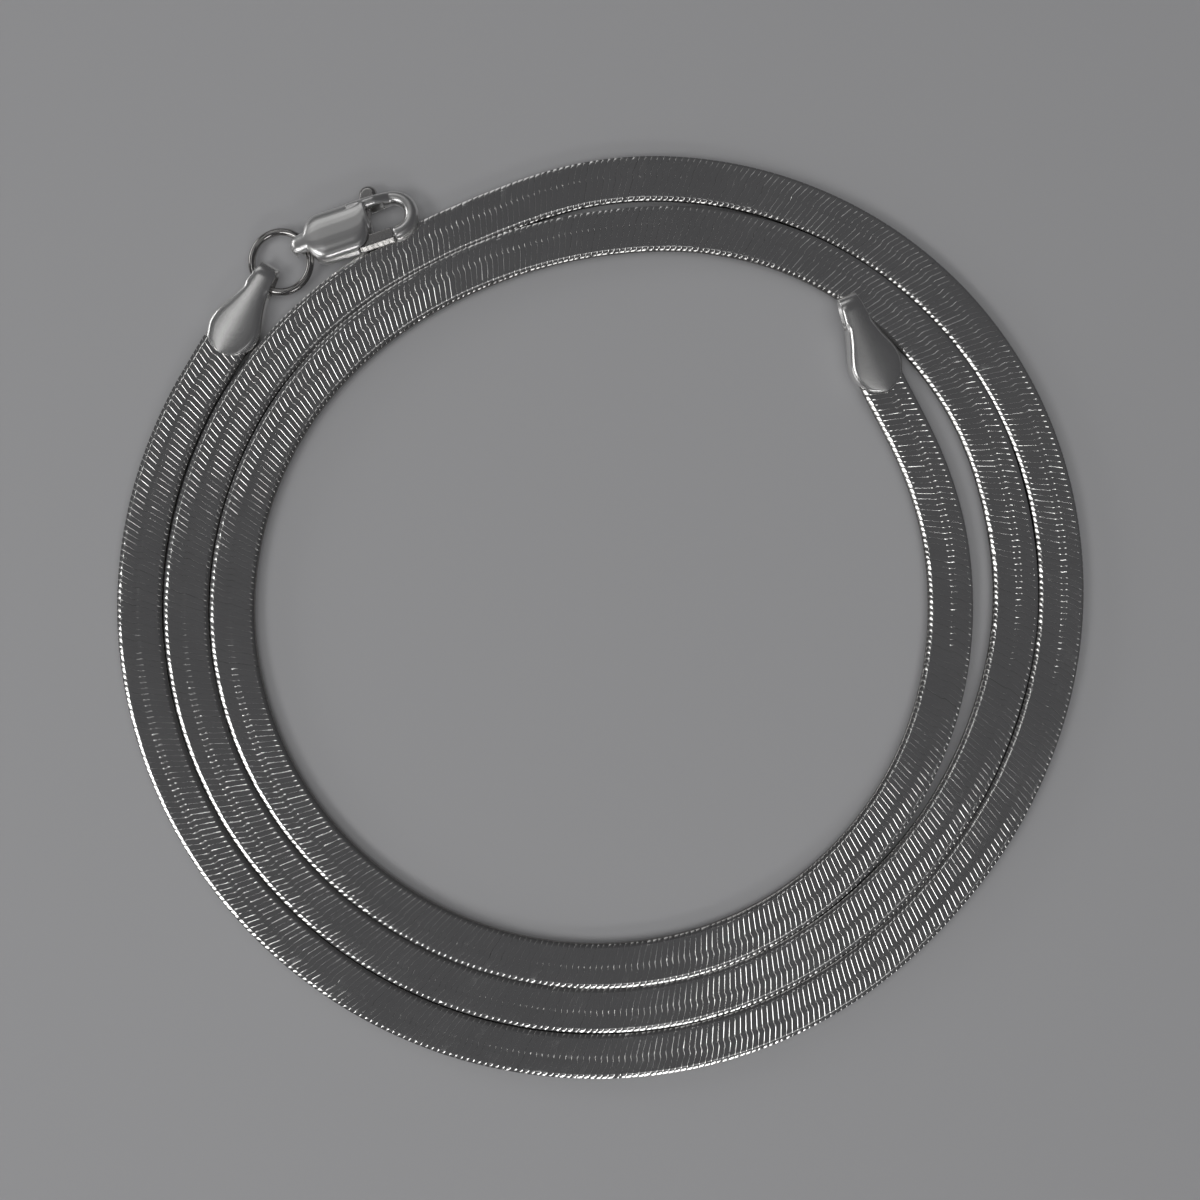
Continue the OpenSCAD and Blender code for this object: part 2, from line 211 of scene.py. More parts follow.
def finished(name, draft, material, matrix, at):
    """A new piece from a draft in millimetres: its modifiers applied, then turned, placed and scaled."""
    source = draft.evaluated_get(bpy.context.evaluated_depsgraph_get())
    mesh = bpy.data.meshes.new_from_object(source)
    points = np.zeros(len(mesh.vertices) * 3)
    mesh.vertices.foreach_get("co", points)
    points = (points.reshape(-1, 3) @ matrix.T + at) * MM
    mesh.vertices.foreach_set("co", points.ravel())
    mesh.polygons.foreach_set("use_smooth", np.ones(len(mesh.polygons), bool))
    mesh.materials.clear()
    mesh.materials.append(material)
    mesh.update()
    piece = bpy.data.objects.new(name, mesh)
    bpy.context.scene.collection.objects.link(piece)
    bpy.data.objects.remove(draft)
    return piece


def joined(name, parts):
    """One object of several (points, faces) pairs."""
    start = np.cumsum([0] + [len(points) for points, _ in parts])
    faces = [[int(i + s) for i in f] for (_, fs), s in zip(parts, start) for f in fs]
    return tidied(new_object(name, np.concatenate([p for p, _ in parts]), faces))


def superellipse(half_w, half_t, power, count):
    """Points (across, up) of a rounded section: |across / half_w|^power + |up / half_t|^power = 1."""
    a = (np.arange(count) + 0.5) * 2 * np.pi / count
    c, s = np.cos(a), np.sin(a)
    across = np.sign(c) * np.abs(c) ** (2 / power) * np.asarray(half_w)[..., None]
    up = np.sign(s) * np.abs(s) ** (2 / power) * np.asarray(half_t)[..., None]
    return across, up


# Materials
# Polishing marks: how much finer they are along each axis, and how deep. Haze's share of the wear
MARK_STRETCH, MARK_DEPTH, HAZE_SHARE = (1.0, 9.0, 1.0), 0.01 * MM, 0.5
# Values of the painted-shade attribute between which the link colour goes from bright to the painted shade
# colour
PAINTED_SHADE_FROM, PAINTED_SHADE_TO = 0.25, 0.95


def group_node(tree, group, **values):
    """A node of a shader group in a material, with its inputs set."""
    node = tree.nodes.new("ShaderNodeGroup")
    node.node_tree = group
    for name, value in values.items():
        node.inputs[name].default_value = value
    return node


def new_group(name, inputs, outputs):
    """An empty shader group with named sockets, and its input and output nodes."""
    group = bpy.data.node_groups.new(name, "ShaderNodeTree")
    for socket, kind, value in inputs:
        made = group.interface.new_socket(name=socket, in_out="INPUT", socket_type=kind)
        if value is not None:
            made.default_value = value
    for socket, kind in outputs:
        group.interface.new_socket(name=socket, in_out="OUTPUT", socket_type=kind)
    return group, group.nodes.new("NodeGroupInput"), group.nodes.new("NodeGroupOutput")


def noise_node(tree, detail, roughness):
    """A noise texture of so many layers."""
    node = tree.nodes.new("ShaderNodeTexNoise")
    node.inputs["Detail"].default_value = detail
    node.inputs["Roughness"].default_value = roughness
    return node


def ranged(tree, value, from_low, from_high, to_low, to_high):
    """A value mapped from one range to another and held inside it."""
    node = tree.nodes.new("ShaderNodeMapRange")
    for socket, number in zip(node.inputs[1:5], (from_low, from_high, to_low, to_high)):
        socket.default_value = number
    tree.links.new(value, node.inputs[0])
    return node.outputs[0]


def polish_group():
    """Fine scratches of a polished surface: noise stretched along the piece, as a mask and a height."""
    group, start, end = new_group(
        "polish marks",
        [("Vector", "NodeSocketVector", None), ("Scale", "NodeSocketFloat", 1.0)],
        [("Mask", "NodeSocketFloat"), ("Height", "NodeSocketFloat")],
    )
    stretch = group.nodes.new("ShaderNodeVectorMath")
    stretch.operation = "MULTIPLY"
    stretch.inputs[1].default_value = MARK_STRETCH
    group.links.new(start.outputs["Vector"], stretch.inputs[0])
    lines = noise_node(group, 6, 0.7)
    group.links.new(stretch.outputs[0], lines.inputs["Vector"])
    group.links.new(start.outputs["Scale"], lines.inputs["Scale"])
    group.links.new(ranged(group, lines.outputs["Fac"], 0.35, 0.7, 0, 1), end.inputs["Mask"])
    group.links.new(lines.outputs["Fac"], end.inputs["Height"])
    return group


def haze_group():
    """Soft clouds of handling haze: where the surface has lost some of its polish."""
    group, start, end = new_group(
        "handling haze",
        [("Vector", "NodeSocketVector", None), ("Scale", "NodeSocketFloat", 1.0)],
        [("Mask", "NodeSocketFloat")],
    )
    clouds = noise_node(group, 3, 0.55)
    group.links.new(start.outputs["Vector"], clouds.inputs["Vector"])
    group.links.new(start.outputs["Scale"], clouds.inputs["Scale"])
    group.links.new(ranged(group, clouds.outputs["Fac"], 0.4, 0.68, 0, 1), end.inputs["Mask"])
    return group


POLISH, HAZE = polish_group(), haze_group()


def silver(name, bright, dull, rough, haze_scale, mark_scale, bump, painted_shade=None):
    """Silver with haze and polishing marks: its colour and roughness go from the first value to the
    second where it is worn. A painted-shade attribute, where given, sets the colour instead of the
    wear: it paints shade, from bright to the second colour."""
    material = bpy.data.materials.new(name)
    material.use_nodes = True
    tree = material.node_tree
    shader = tree.nodes["Principled BSDF"]
    shader.inputs["Metallic"].default_value = 1.0
    place = tree.nodes.new("ShaderNodeTexCoord").outputs["Object"]
    haze = group_node(tree, HAZE, Scale=haze_scale)
    marks = group_node(tree, POLISH, Scale=mark_scale)
    tree.links.new(place, haze.inputs["Vector"])
    tree.links.new(place, marks.inputs["Vector"])
    wear = tree.nodes.new("ShaderNodeMath")
    wear.operation = "MULTIPLY_ADD"
    wear.inputs[1].default_value = HAZE_SHARE
    tree.links.new(haze.outputs["Mask"], wear.inputs[0])
    tree.links.new(ranged(tree, marks.outputs["Mask"], 0, 1, 0, 1 - HAZE_SHARE), wear.inputs[2])
    tree.links.new(ranged(tree, wear.outputs[0], 0, 1, *rough), shader.inputs["Roughness"])
    colour = tree.nodes.new("ShaderNodeMix")
    colour.data_type = "RGBA"
    colour.inputs["A"].default_value = (*bright, 1)
    colour.inputs["B"].default_value = (*dull, 1)
    shade = wear.outputs[0]
    # Painted shade: the attribute, where given, sets the colour in place of the wear
    if painted_shade:
        painted_shade_node = tree.nodes.new("ShaderNodeAttribute")
        painted_shade_node.attribute_name = painted_shade
        shade = ranged(tree, painted_shade_node.outputs["Fac"], PAINTED_SHADE_FROM, PAINTED_SHADE_TO, 0, 1)
    tree.links.new(shade, colour.inputs["Factor"])
    tree.links.new(colour.outputs["Result"], shader.inputs["Base Color"])
    relief = tree.nodes.new("ShaderNodeBump")
    relief.inputs["Strength"].default_value = bump
    relief.inputs["Distance"].default_value = MARK_DEPTH
    tree.links.new(marks.outputs["Height"], relief.inputs["Height"])
    tree.links.new(relief.outputs["Normal"], shader.inputs["Normal"])
    return material


# The third colour is the dark silver of painted shade on the links
BRIGHT, SATIN, PAINTED_SHADE_COLOUR = (0.93, 0.925, 0.91), (0.88, 0.875, 0.86), (0.2, 0.19, 0.18)
LINK_SILVER = silver("link silver", BRIGHT, PAINTED_SHADE_COLOUR, (0.13, 0.2), 260, 900, 0.03, painted_shade="painted_shade")
SHEET_SILVER = silver("sheet silver", BRIGHT, SATIN, (0.26, 0.27), 200, 500, 0)
CAST_SILVER = silver("cast silver", BRIGHT, SATIN, (0.29, 0.32), 220, 500, 0)
WIRE_SILVER = silver("wire silver", (0.5, 0.49, 0.48), (0.36, 0.35, 0.34), (0.12, 0.2), 300, 600, 0.02)
# The lever's silver is darker than the shell's: painted shade for its place down in the shell's slot
SHADED_LEVER_SILVER = silver("lever silver", (0.6, 0.59, 0.58), (0.44, 0.43, 0.42), (0.18, 0.3), 300, 600, 0.03)
CORE_SILVER = silver("inner silver", (0.3, 0.3, 0.29), (0.12, 0.12, 0.11), (0.4, 0.6), 300, 600, 0.1)


# Band of woven links
# Its ends: a cap holds the first GRIP_L mm, level with it at places that are shares of them. From
# LIFT_L mm on the band lies on the surface, and at a share of them a share of its height is left
GRIP_L, GRIP_PLACES = 2.1, (0, 0.57, 1)
LIFT_L, LIFT_PLACE, LIFT_LEFT = 8.0, 0.55, 0.3
# Spacing of the links and width over them, bare ends of the band, and how unevenly links are spaced
PITCH, WEAVE_W, WEAVE_INSET, PITCH_SLIP = 0.41, 3.16, 0.6, 0.004
# Corners of a link's wire: share of the pitch along the band, depth in mm under its outer face
LINK_WIRE = np.array([[-0.5, 0.05], [-0.41, 0], [0.41, 0], [0.5, 0.05], [0, 0.3]])
# How far each of the wire's five faces is turned along the band at its two sides, in degrees:
# on the plate, at its rims, and where a link dips under its neighbour
LINK_FACES = np.array([
    [[-25, -20], [-1, 1], [20, 26], [110, 170], [190, 250]],
    [[-34, -9], [-5, 5], [9, 34], [110, 170], [190, 250]],
    [[-34, -31], [-1, 1], [32, 35], [110, 170], [190, 250]],
])
# Way of a link round the band: share of half the width outwards, share of the thickness, tilt of the
# outer face from level, in degrees, and its kind: 0 on the plate, 1 at a rim, -1 in a dip
LINK_WAY = np.array([
    [0.97, 0.985, 21, 1], [0.84, 1, 9, 1], [0.78, 1, -5, -0.8], [0.62, 1, -7, 0], [0.32, 1, -7, 0],
    [0.2, 1, -10, -1], [0.06, 1, -4, -1], [-0.06, 1, -7, 0], [-0.6, 1, -7, 0], [-0.76, 1, -9, -0.8],
    [-0.82, 1, -22, 1], [-0.97, 0.985, -34, 1], [-1, 0.72, -85, 1], [-0.93, 0.04, -150, 1],
    [0.93, 0.04, 150, 1], [1, 0.72, 85, 1],
])
# Lean of a link: share of half the width outwards, mm ahead along the band
LINK_LEAN = np.array([[-1, 0.53], [0.04, -0.04], [0.24, 0.0], [1, -0.53]])
# Unevenness of the weave, in degrees: roll of a link, of each place on it, and of the tilt across it
LINK_ROLL, PLACE_ROLL, PLACE_TILT = 1.0, 1.6, 0.8
# Painted shade on the links: how dark they are painted at two tilts of a link's face, in degrees, darkest
# on the band's steep sides and underside
PAINTED_SHADE_TILTS, PAINTED_SHADE_DARK = [5, 50], [0.1, 1]
# The fill inside the links: shares of the band's width and thickness, how square it is, its bare ends
CORE_W, CORE_T, CORE_SQUARE, CORE_INSET = 0.84, 0.6, 4, 0.3


def end_lift(pitch, distance):
    """Height of the band's underside at a distance from its end: level with the cap, then coming down."""
    tan, cos, sin = (f(math.radians(pitch)) for f in (math.tan, math.cos, math.sin))
    held = [
        [share * GRIP_L, (BAND_END_X - share * GRIP_L) * tan + BAND_LIFT / cos + CAP_R * sin]
        for share in GRIP_PLACES
    ]
    coming_down = [[LIFT_PLACE * LIFT_L, LIFT_LEFT * BAND_LIFT], [LIFT_L, 0], [2 * LIFT_L, 0]]
    return np.where(distance >= LIFT_L, 0, along(held + coming_down, np.minimum(distance, LIFT_L)))


class Band:
    """The band's centre line by its length: places, directions and heights, close together. Within
    near_angle degrees of an end, the height follows the distance from that end's cap."""

    near_angle = 30
    angles = np.linspace(ROUTE_START, ROUTE_END, 9000)
    centre = route_at(angles)
    ahead = np.gradient(centre, axis=0)
    ahead /= np.linalg.norm(ahead, axis=1, keepdims=True)
    run = np.concatenate([[0], np.cumsum(np.linalg.norm(np.diff(centre, axis=0), axis=1))])
    length = run[-1]
    from_start = np.linalg.norm(centre - END_POINTS[0], axis=1)
    from_start[angles - ROUTE_START > near_angle] = LIFT_L
    from_end = np.linalg.norm(centre - END_POINTS[1], axis=1)
    from_end[ROUTE_END - angles > near_angle] = LIFT_L
    lift = end_lift(CLASP_CAP_PITCH, from_start) + end_lift(FAR_CAP_PITCH, from_end)

    @classmethod
    def points(cls, run, across, up):
        """Points at a length along the band, a distance outwards and a height over its underside."""
        x, y, tx, ty, z = (
            np.interp(run, cls.run, column)
            for column in (cls.centre[:, 0], cls.centre[:, 1], cls.ahead[:, 0], cls.ahead[:, 1], cls.lift)
        )
        return np.stack([x + across * ty, y - across * tx, z + up], -1)


def unit(vectors):
    """The vectors at length one."""
    return vectors / np.linalg.norm(vectors, axis=-1, keepdims=True)


def link_turns(kind, roll):
    """How far the sides of a wire's faces are turned along the band, in radians: LINK_FACES by the
    kind of each place, and the roll of the link there."""
    plate, rim, dip = LINK_FACES
    kind = kind[:, None, None]
    turn = plate + (rim - plate) * np.maximum(kind, 0) + (dip - plate) * np.maximum(-kind, 0)
    return np.radians(turn + roll[..., None, None])[..., None]


def link_normals(points, outwards, turns):
    """Normals at the corners of the wires' faces: outwards, turned towards the wire's side."""
    spine = points[:, :, 1:3].mean(2)
    way_on = unit(np.roll(spine, -1, 1) - np.roll(spine, 1, 1))
    aside = unit(np.cross(way_on, outwards))
    aside = aside * np.sign(np.sum((points[:, :, 2] - points[:, :, 1]) * aside, -1, keepdims=True))
    here = np.cos(turns) * outwards[:, :, None, None] + np.sin(turns) * aside[:, :, None, None]
    onward = np.roll(here, -1, 1)
    corners = [here[..., 1, :], onward[..., 1, :], onward[..., 0, :], here[..., 0, :]]
    return np.stack(corners, 3).reshape(-1, 3)


def woven_links():
    """Closed wires round the band, side by side: a link's way round the section, leaning by LINK_LEAN,
    carries the five corners of its wire, with a little roll and unevenness from link to link."""
    count = int((Band.length - 2 * WEAVE_INSET) / PITCH)
    middle = np.linspace(WEAVE_INSET, Band.length - WEAVE_INSET, count) + rng.normal(0, PITCH_SLIP, count)
    share, height, tilt, kind = LINK_WAY.T
    way, corners = len(LINK_WAY), len(LINK_WIRE)
    lean = np.interp(share, LINK_LEAN[:, 0], LINK_LEAN[:, 1])
    roll = rng.normal(0, LINK_ROLL, (count, 1)) + rng.normal(0, PLACE_ROLL, (count, way))
    tilts = np.radians(tilt + rng.normal(0, PLACE_TILT, (count, way)))[..., None]
    run = middle[:, None, None] + lean[:, None] + PITCH * LINK_WIRE[:, 0]
    across = WEAVE_W / 2 * share[:, None] - LINK_WIRE[:, 1] * np.sin(tilts)
    up = BAND_T * height[:, None] - LINK_WIRE[:, 1] * np.cos(tilts)
    points = Band.points(run, across, up)
    ring = grid_quads(way, corners, close_rows=True, close_columns=True)[:, ::-1]
    quads = (ring + way * corners * np.arange(count)[:, None, None]).reshape(-1, 4)
    piece = new_object("woven_links", points.reshape(-1, 3) * MM, quads, LINK_SILVER)
    outwards = Band.points(run, across + np.sin(tilts), up + np.cos(tilts))[:, :, 1] - points[:, :, 1]
    normals = link_normals(points, outwards, link_turns(kind, roll))
    piece.data.normals_split_custom_set(normals.tolist())
    # Painted shade: the steeper a face is tilted from level, the darker it is painted
    dark = np.tile(np.repeat(np.interp(np.abs(tilt), PAINTED_SHADE_TILTS, PAINTED_SHADE_DARK), corners), count)
    piece.data.attributes.new("painted_shade", "FLOAT", "POINT").data.foreach_set("value", dark.astype(np.float32))
    return piece


def band_core():
    """The inner turns of the links, which fill the band: a flat oval carried along it."""
    stations = np.linspace(CORE_INSET, Band.length - CORE_INSET, 500)
    across, up = superellipse(CORE_W * BAND_W / 2, CORE_T * BAND_T / 2, CORE_SQUARE, 12)
    points, faces = tube(Band.points(stations[:, None], across[None], BAND_T / 2 + up[None]))
    return tidied(new_object("band_core", points * MM, faces, CORE_SILVER))


# End caps of folded sheet: depth of the fold at the tip, round of the plates' edges, rise of their
# middle, and bevel of the rims
CAP_FOLD, CAP_CORNER_R, CAP_CROWN, CAP_BEVEL = 1.0, 0.42, 0.15, 0.05
CAP_BEND_X = CAP_REACH - CAP_FOLD
# Where the side walls start, past the mouth, and where they stop, before the loop
WALL_FROM, WALL_TO = -0.5 * CAP_R, CAP_REACH - CAP_WALL - CAP_LOOP
# Where a plate has no wall: share of its edge's drop that is left, and how far off the drop fades
BARE_DROP, BARE_FADE = 0.2, 0.5


def cap_half(x):
    """Half the width of a cap at x: a round end, then flanks that narrow to the tip."""
    flank = CAP_TIP_W / 2 + (CAP_R - CAP_TIP_W / 2) * along(CAP_FLANK, np.maximum(x, 0) / CAP_REACH)
    return np.where(x < 0, np.sqrt(np.maximum(CAP_R**2 - x**2, 0)), flank)


def cap_stations():
    """Places along a cap and half its height there: round end, walls, strap and fold."""
    round_end = -CAP_R * np.cos(np.radians(np.linspace(0, 60, 13)))
    walled = np.linspace(WALL_FROM, WALL_TO, 22)
    strap = np.linspace(WALL_TO + 0.1, CAP_BEND_X, 10)
    fold = np.radians(np.linspace(0, 90, 9))[1:]
    x = np.concatenate([round_end[:-1], walled, strap, CAP_BEND_X + CAP_FOLD * np.sin(fold)])
    level = np.full(len(x) - len(fold), CAP_H / 2)
    return x, np.concatenate([level, CAP_H / 2 * np.cos(fold)])


def cap_plate(x, half_h):
    """The top plate at each station: places across it and its height over the cap's middle. Its edges
    drop in a quarter round towards the walls, and it is crowned by the square of the place across."""
    half_w = cap_half(x)
    off_wall = np.maximum(np.maximum(WALL_FROM - x, x - WALL_TO), 0)
    drop_left = BARE_DROP + (1 - BARE_DROP) * np.clip(1 - off_wall / BARE_FADE, 0, 1) ** 2
    corner = np.minimum(CAP_CORNER_R, 0.6 * half_w)[:, None]
    turn = np.radians(np.linspace(90, 0, 7))
    edge_y = half_w[:, None] - corner + corner * np.sin(turn)
    edge_drop = corner * (1 - np.cos(turn)) * drop_left[:, None]
    middle_y = (half_w[:, None] - corner) * np.linspace(1, -1, 11)[1:-1]
    y = np.concatenate([edge_y, middle_y, -edge_y[:, ::-1]], 1)
    drop = np.concatenate([edge_drop, 0 * middle_y, edge_drop[:, ::-1]], 1)
    height_left = half_h / (CAP_H / 2)
    crown = CAP_CROWN * np.minimum(half_w / CAP_R, height_left)[:, None]
    drop = drop * height_left[:, None] + crown * (y / half_w.clip(1e-6)[:, None]) ** 2
    return y, half_h[:, None] - drop


def cap_draft():
    """The folded sheet: its outer face goes at each station over the top plate, down the left wall,
    back under and up the right wall. The plates meet at the tip, and the sheet has a thickness."""
    x, half_h = cap_stations()
    y, z = cap_plate(x, half_h)
    along_x = np.broadcast_to(x[:, None], y.shape)
    top = np.stack([along_x, y, CAP_H / 2 + z], -1)
    bottom = np.stack([along_x, y[:, ::-1], CAP_H / 2 - z[:, ::-1]], -1)
    points = np.concatenate([top, bottom], 1)
    rows, columns = points.shape[:2]
    quads = grid_quads(rows, columns, close_columns=True).reshape(rows - 1, columns, 4)
    is_wall = np.arange(columns) % (columns // 2) == columns // 2 - 1
    has_wall = (x[:-1] > WALL_FROM - 1e-6) & (x[1:] < WALL_TO + 1e-6)
    kept = quads[~is_wall[None, :] | has_wall[:, None]]
    draft = tidied(new_object("cap draft", points.reshape(-1, 3), kept), merge=0.002)
    rims = {"width": CAP_BEVEL, "segments": 2, "limit_method": "ANGLE", "angle_limit": math.radians(50)}
    return modified(
        draft,
        ("SOLIDIFY", {"thickness": CAP_WALL, "offset": -1, "use_even_offset": True}),
        ("BEVEL", rims),
    )


def end_cap(name, at, turn, pitch):
    """A cap set on the surface at its place, its loop pitched up."""
    place = [at[0], at[1], CAP_R * math.sin(math.radians(pitch))]
    return finished(name, cap_draft(), SHEET_SILVER, turned(0, -pitch, turn), place)


def jump_ring():
    """A round wire carried round a circle and closed."""
    stations, sides = 96, 20
    around = np.linspace(0, 2 * np.pi, stations, endpoint=False)[:, None]
    wire = np.linspace(0, 2 * np.pi, sides, endpoint=False)[None]
    reach = RING_R + RING_WIRE / 2 * np.cos(wire)
    rise = RING_WIRE / 2 * np.sin(wire) + 0 * around
    grid = np.stack([reach * np.cos(around), reach * np.sin(around), rise], -1)
    points = grid.reshape(-1, 3) @ turned(0, -RING_TILT, RING_TILT_TO).T + [*RING_AT, RING_Z]
    quads = grid_quads(stations, sides, close_rows=True, close_columns=True)
    return tidied(new_object("ring_wire", points * MM, quads, WIRE_SILVER))


# Clasp with its lever, in its own frame: u along it from the eye's end, v across, w up
HOOK_X, HOOK_Y, ARM_Y = CLASP_L - WINDOW_R - HOOK_W, CLASP_W / 2 - WINDOW_R - HOOK_W, WINDOW_R + HOOK_W / 2
PIN_AT = np.array([SHELL_L - PIN_INSET, -PIN_SIDE])
KNOB_AT = np.array([HOOK_X - KNOB_BACK, CLASP_W / 2 + KNOB_RISE])
SLOT_FROM, SLOT_TO = PIN_AT[0] - SLOT_BACK, HOOK_X - SLOT_END
GATE_R = HOOK_X - HOOK_TIP_L + GATE_LAP - PIN_AT[0]
# Room round the pin in the lever, edge of the barrel and height of the knob's dome
PIN_HOLE_R, BARREL_EDGE, KNOB_DOME = 0.33, 0.04, 0.3
# How square the sections are: 2 is an oval, and more is squarer. The shell's goes from the first to
# the second between two places along it
HOOK_SQUARE, SHELL_SQUARE, SQUARE_AT = 2.4, [2.6, 3.2], [0.8, 2.3]
# Places round the shell's sections and the hook's, and the grain in mm of the meshes that fuse pieces
SHELL_SIDES, HOOK_SIDES = 36, 28
SHELL_GRAIN, SHELL_EVEN_GRAIN, LEVER_GRAIN = 0.05, 0.045, 0.04
# Cutters: the edge of a round one, and how far past the clasp's middle line or short of it one stops
CUT_EDGE, CUT_LAP = 0.01, 0.01
# How far the shell's end stands into the window, and how it ends: share of that, share of its section
SHELL_LIP = 0.3
SHELL_END = np.array([[0.2, 1], [0.7, 1], [0.9, 0.985], [1, 0.94]])
# The hook's arm: where it starts inside the shell, and the most that half its thickness comes to
ARM_FROM, ARM_HALF_T = 4.6, 0.86
# The hook's tip: place along from the middle of its bend, share of its section
HOOK_TIP = np.array([[-0.12, 1], [-0.2, 1], [-0.26, 0.9], [-0.285, 0.72]])
# Half the clasp's thickness along it: share of its length, share of the shell's rise over the hook
CLASP_SIDE = [
    [0, -0.4], [0.03, 0.2], [0.08, 0.5], [0.14, 0.78], [0.2, 0.95],
    [0.27, 1], [0.66, 1], [0.74, 0.6], [0.83, 0.02], [0.9, 0],
]


def clasp_half_t(u):
    """Half the clasp's thickness at a place along it."""
    share = np.clip(np.asarray(u, float) / CLASP_L, 0, 0.9)
    return HOOK_T / 2 + (CLASP_T - HOOK_T) / 2 * np.minimum(along(CLASP_SIDE, share), 1)


def shell_edges(u):
    """Lower and upper edge of the shell: the eye's round end, the shoulders' rounds and the heel's."""
    eye = np.sqrt(np.maximum((EYE_W / 2) ** 2 - np.maximum(EYE_W / 2 - u, 0) ** 2, 0))
    shoulder = np.sqrt(np.maximum(SHOULDER_R**2 - np.minimum(u - SHOULDER_X - SHOULDER_R, 0) ** 2, 0))
    wide = np.maximum(eye, np.where(u > SHOULDER_X, CLASP_W / 2 - SHOULDER_R + shoulder, 0))
    heel = np.sqrt(np.maximum(HEEL_R**2 - np.maximum(u - (SHELL_L - HEEL_R), 0) ** 2, 0))
    return -np.minimum(wide, CLASP_W / 2 - HEEL_R + heel), wide


def shell_part():
    """The shell: rounded sections between its two edges, one after another from the eye to the heel."""
    eye = EYE_W / 2 * (1 - np.cos(np.radians(np.linspace(8, 90, 14))))
    neck = [0.9, 1.05, 1.19]
    shoulders = SHOULDER_X + SHOULDER_R * (1 - np.cos(np.radians(np.linspace(12, 90, 20))))
    body = np.linspace(2.6, 4.3, 16)
    heel = SHELL_L - HEEL_R * (1 - np.sin(np.radians(np.linspace(0, 86, 14))))
    lip = SHELL_L + SHELL_LIP * SHELL_END[:, 0]
    u = np.concatenate([eye, neck, shoulders, body, heel, lip])
    low, high = shell_edges(u)
    size = np.concatenate([np.ones(len(u) - len(lip)), SHELL_END[:, 1]])
    power = np.interp(u, SQUARE_AT, SHELL_SQUARE)[:, None]
    across, up = superellipse(0.5 * (high - low) * size, clasp_half_t(u) * size, power, SHELL_SIDES)
    return tube(np.stack([u[:, None] + 0 * across, 0.5 * (low + high)[:, None] + across, up], -1))


def hook_part():
    """The hook: an oval carried along the arm, round the bend and back to the tip. Its way is a place
    on the hook's middle line, and from there ARM_Y towards the side that it is on."""
    arm = np.linspace(ARM_FROM, HOOK_X, 24)
    bend = np.linspace(90, -90, 33)
    middle = np.concatenate([arm[:-1], np.full(len(bend), HOOK_X), HOOK_X + HOOK_TIP[:, 0]])
    angle = np.radians(np.concatenate([np.full(len(arm) - 1, 90), bend, np.full(len(HOOK_TIP), -90)]))
    side = np.stack([np.cos(angle), np.sin(angle)], -1)
    way = np.stack([middle, np.full(len(middle), HOOK_Y)], -1) + ARM_Y * side
    size = np.concatenate([np.ones(len(way) - len(HOOK_TIP)), HOOK_TIP[:, 1]])
    on_arm = np.arange(len(way)) < len(arm)
    half_t = np.where(on_arm, np.minimum(clasp_half_t(middle), ARM_HALF_T), HOOK_T / 2)
    across, up = superellipse(HOOK_W / 2 * size, half_t * size, HOOK_SQUARE, HOOK_SIDES)
    flat = way[:, None, :] + across[..., None] * side[:, None, :]
    return tube(np.concatenate([flat, up[..., None]], -1))


def box_part(u, v, w):
    """A box between two places each way."""
    corners = np.array([[x, y, z] for x in u for y in v for z in w], float)
    return corners, [[0, 1, 3, 2], [4, 6, 7, 5], [0, 4, 5, 1], [2, 3, 7, 6], [0, 2, 6, 4], [1, 5, 7, 3]]


def disc_part(at, radius, half_t, edge, count=48):
    """A round disc with rounded rims."""
    turn = np.radians(np.linspace(0, 90, 5))
    upper = np.stack([radius - edge * (1 - np.cos(turn)), half_t - edge * (1 - np.sin(turn))], -1)
    reach, rise = np.concatenate([upper[::-1] * [1, -1], upper]).T[..., None]
    around = np.linspace(0, 2 * np.pi, count, endpoint=False)
    rows = [at[0] + reach * np.cos(around), at[1] + reach * np.sin(around), rise + 0 * around]
    return tube(np.stack(rows, -1))


def clasp_place():
    """How the clasp lies: its matrix, and where its frame's origin comes."""
    matrix = turned(CLASP_LEAN, 0, CLASP_TURN)
    return matrix, np.array([*EYE_AT, CLASP_Z]) - matrix @ np.array([EYE_X, 0, 0])


def clasp_shell():
    """The cast body: shell and hook fused, and cut for the lever's barrel, its thumb arm, the two
    sides of its gate, and the ring."""
    slot = LEVER_T / 2 + LEVER_PLAY
    draft = joined("shell draft", [shell_part(), hook_part()])
    cutter = joined("slot", [
        disc_part(PIN_AT, BARREL_R + LEVER_PLAY, slot, CUT_EDGE),
        box_part([SLOT_FROM, SLOT_TO], [0, CLASP_W], [-slot, slot]),
        box_part([SLOT_FROM, SHELL_L + 1], [PIN_AT[1], CUT_LAP], [-slot, slot]),
        box_part([PIN_AT[0] - LEVER_PLAY, SHELL_L + 0.5], [-CLASP_W, -CUT_LAP], [-slot, slot]),
        box_part([EYE_WALL, EYE_WALL + EYE_HOLE_L], [-CLASP_W, CLASP_W],
                 [-EYE_DROP - EYE_HOLE_H / 2, -EYE_DROP + EYE_HOLE_H / 2]),
    ])
    modified(
        draft,
        ("REMESH", {"mode": "VOXEL", "voxel_size": SHELL_GRAIN}),
        ("BOOLEAN", {"operation": "DIFFERENCE", "solver": "EXACT", "use_self": True, "object": cutter}),
        ("REMESH", {"mode": "VOXEL", "voxel_size": SHELL_EVEN_GRAIN}),
        ("SMOOTH", {"factor": 0.5, "iterations": 3}),
    )
    piece = finished("clasp_shell", draft, CAST_SILVER, *clasp_place())
    bpy.data.objects.remove(cutter)
    return piece


